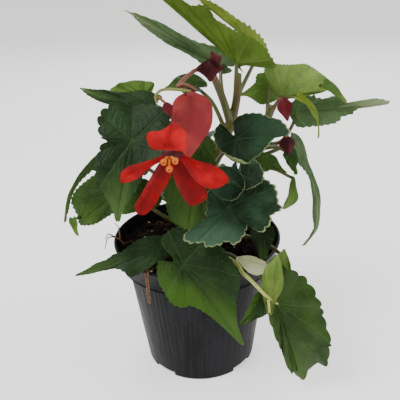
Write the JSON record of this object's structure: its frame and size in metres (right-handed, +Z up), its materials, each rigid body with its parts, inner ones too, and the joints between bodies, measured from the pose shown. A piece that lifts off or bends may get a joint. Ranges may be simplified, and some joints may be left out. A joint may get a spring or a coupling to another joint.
{
  "type": "potted begonia",
  "caption": "Flowering begonia with toothed, unequal leaves and one open hooded red flower, standing in a tapered black plastic nursery pot filled with peat.",
  "frame": {"origin": "middle of the flat underside of the pot", "axes": "+Z up along the axis of the pot, -Y towards the side that the open flower faces, +X to the right of it"},
  "size_m": [0.2425, 0.1786, 0.2918],
  "materials": {
    "pot": "satin black moulded plastic with fine upright streaks",
    "peat": "moist crumbly peat",
    "stem": "satin, olive brown, finely hairy",
    "leaf_dark": "satin dark green with a bluish sheen, quilted between the veins",
    "leaf_mid": "satin green, lighter along the veins",
    "leaf_bright": "soft light green, light shows through",
    "leaf_cream": "matt pale cream green",
    "petal": "velvety red, light shows through",
    "bud": "satin dark red",
    "stigma": "matt orange, grainy",
    "fibre": "dry matt brown"
  },
  "bodies": {
    "root": {"pot": "pot", "soil": "peat", "stem_main": "stem", "stem_second": "stem", "leaf_top": "leaf_bright", "leaf_top_back": "leaf_bright", "leaf_top_left": "leaf_mid", "leaf_left_slim": "leaf_dark", "leaf_left_bright": "leaf_bright", "leaf_behind_flower": "leaf_mid", "leaf_left_big": "leaf_dark", "leaf_left_outer": "leaf_mid", "leaf_left_low": "leaf_mid", "leaf_left_inner": "leaf_mid", "leaf_rim_left": "leaf_dark", "leaf_rim_front": "leaf_mid", "leaf_centre_cup": "leaf_dark", "leaf_centre_curl": "leaf_dark", "leaf_centre_big": "leaf_dark", "leaf_under_flower": "leaf_mid", "leaf_hanging_right": "leaf_mid", "leaf_hanging_back": "leaf_bright", "leaf_fold_small": "leaf_mid", "leaf_cream": "leaf_cream", "leaf_right_fan": "leaf_bright", "leaf_right_long": "leaf_mid", "leaf_right_hanging": "leaf_mid", "leaf_right_small": "leaf_bright", "leaf_crown_low": "leaf_bright", "leaf_right_under": "leaf_dark", "leaf_bud_inner": "leaf_mid", "leaf_bud_outer": "leaf_mid", "leaf_back_left": "leaf_dark", "leaf_back_low_left": "leaf_mid", "leaf_back_middle": "leaf_dark", "leaf_back_low": "leaf_mid", "leaf_back_right": "leaf_dark", "flower_petals": "petal", "flower_stigmas": "stigma", "flower_stalk": "stem", "bud_top": "bud", "bud_hanging": "bud", "bud_low": "bud", "bud_side": "bud", "fibre_front": "fibre", "fibre_left": "fibre"}
  },
  "joints": []
}
